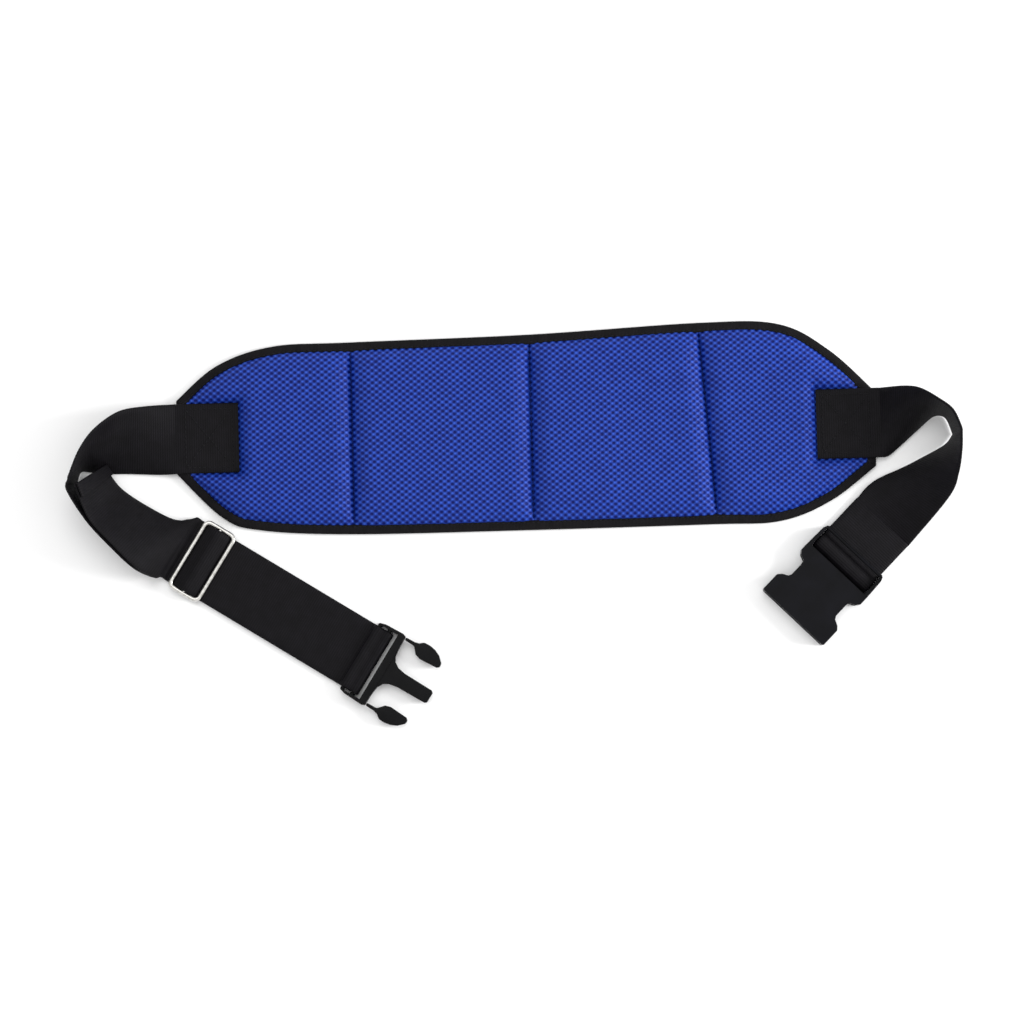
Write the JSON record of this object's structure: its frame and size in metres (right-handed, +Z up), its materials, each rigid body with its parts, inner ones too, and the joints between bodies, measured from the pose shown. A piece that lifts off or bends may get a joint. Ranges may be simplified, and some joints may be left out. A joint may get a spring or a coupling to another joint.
{
  "type": "gait belt",
  "caption": "Padded waist belt with a quilted air-mesh pad, webbing straps, a wire slider and a side-release buckle, laid out open.",
  "frame": {"origin": "on the back of the pad at its middle, in the plane of the table", "axes": "+X along the belt towards the socket end, +Y towards the pad's upper edge, +Z up out of the quilted face"},
  "size_m": [0.6181, 0.2769, 0.0542],
  "materials": {
    "air_mesh": "knitted polyester air mesh, soft sheen",
    "foam": "open cell foam",
    "lining": "woven lining",
    "binding": "folded ribbed tape",
    "blue_thread": "spun polyester thread",
    "black_thread": "spun polyester thread",
    "webbing": "ribbed polypropylene webbing",
    "nickel_wire": "satin nickel plated steel wire",
    "plug_acetal": "moulded acetal, glossy",
    "socket_acetal": "moulded acetal, satin gloss"
  },
  "bodies": {
    "inner_left_panel": {"mesh_cover_2": "air_mesh", "foam_core_2": "foam", "back_lining_2": "lining", "edge_binding_2": "binding", "seam_thread_1": "blue_thread", "seam_thread_2": "blue_thread"},
    "outer_left_panel": {"mesh_cover_1": "air_mesh", "foam_core_1": "foam", "back_lining_1": "lining", "edge_binding_1": "binding", "left_strap_end": "webbing", "left_box_stitch": "black_thread"},
    "inner_right_panel": {"mesh_cover_3": "air_mesh", "foam_core_3": "foam", "back_lining_3": "lining", "edge_binding_3": "binding", "seam_thread_3": "blue_thread"},
    "outer_right_panel": {"mesh_cover_4": "air_mesh", "foam_core_4": "foam", "back_lining_4": "lining", "edge_binding_4": "binding", "right_strap_end": "webbing", "right_box_stitch": "black_thread"},
    "left_strap": {"left_strap_upper": "webbing"},
    "left_lower_strap": {"left_strap_turn": "webbing", "left_strap_lower": "webbing", "left_strap_return": "webbing", "left_strap_tail": "webbing", "tail_hem": "webbing"},
    "slider": {"slider_frame": "nickel_wire", "slider_bar": "nickel_wire", "slider_webbing": "webbing"},
    "buckle_plug": {"buckle_plug": "plug_acetal", "plug_webbing": "webbing"},
    "plug_arm_left": {"plug_arm_left": "plug_acetal"},
    "plug_arm_right": {"plug_arm_right": "plug_acetal"},
    "right_strap": {"right_strap_upper": "webbing"},
    "right_lower_strap": {"right_strap_turn": "webbing", "right_strap_lower": "webbing", "right_strap_tail": "webbing"},
    "buckle_socket": {"buckle_socket": "socket_acetal", "socket_webbing": "webbing"}
  },
  "joints": [
    {"name": "outer_left_fold", "type": "hinge", "parent": "inner_left_panel", "child": "outer_left_panel", "pos_m": [-0.123, 0, 0.0038], "axis": [0, 1, 0], "range_deg": [0, 60]},
    {"name": "centre_fold", "type": "hinge", "parent": "inner_left_panel", "child": "inner_right_panel", "pos_m": [0.0025, 0, 0.0038], "axis": [0, -1, 0], "range_deg": [0, 60]},
    {"name": "outer_right_fold", "type": "hinge", "parent": "inner_right_panel", "child": "outer_right_panel", "pos_m": [0.126, 0, 0.0038], "axis": [0.0715, -0.9974, 0], "range_deg": [0, 60]},
    {"name": "left_strap_lift", "type": "hinge", "parent": "outer_left_panel", "child": "left_strap", "pos_m": [-0.2467, -0.001, 0.0056], "axis": [0, 1, 0], "range_deg": [0, 60]},
    {"name": "left_strap_swing", "type": "hinge", "parent": "left_strap", "child": "left_lower_strap", "pos_m": [-0.3171, -0.0303, 0.025], "axis": [0, 0, 1], "range_deg": [-10, 3]},
    {"name": "slider_slide", "type": "slide", "parent": "left_lower_strap", "child": "slider", "axis": [0.8434, -0.5373, 0], "range_m": [0, 0.06]},
    {"name": "plug_lift", "type": "hinge", "parent": "left_lower_strap", "child": "buckle_plug", "pos_m": [-0.12373, -0.1547, 0.0037], "axis": [-0.5373, -0.8434, 0], "range_deg": [0, 35]},
    {"name": "arm_left_squeeze", "type": "hinge", "parent": "buckle_plug", "child": "plug_arm_left", "pos_m": [-0.08959, -0.14503, 0.0045], "axis": [0, 0, -1], "range_deg": [0, 8], "stiffness_Nm_per_rad": 2},
    {"name": "arm_right_squeeze", "type": "hinge", "parent": "buckle_plug", "child": "plug_arm_right", "pos_m": [-0.11806, -0.18973, 0.0045], "axis": [0, 0, 1], "range_deg": [0, 8], "stiffness_Nm_per_rad": 2},
    {"name": "right_strap_lift", "type": "hinge", "parent": "outer_right_panel", "child": "right_strap", "pos_m": [0.2462, -0.003, 0.0056], "axis": [0, -1, 0], "range_deg": [0, 60]},
    {"name": "right_strap_swing", "type": "hinge", "parent": "right_strap", "child": "right_lower_strap", "pos_m": [0.2978, -0.01245, 0.025], "axis": [0, 0, 1], "range_deg": [-3, 10]},
    {"name": "socket_lift", "type": "hinge", "parent": "right_lower_strap", "child": "buckle_socket", "pos_m": [0.22748, -0.09102, 0.0037], "axis": [-0.7071, 0.7071, 0], "range_deg": [0, 35]}
  ]
}
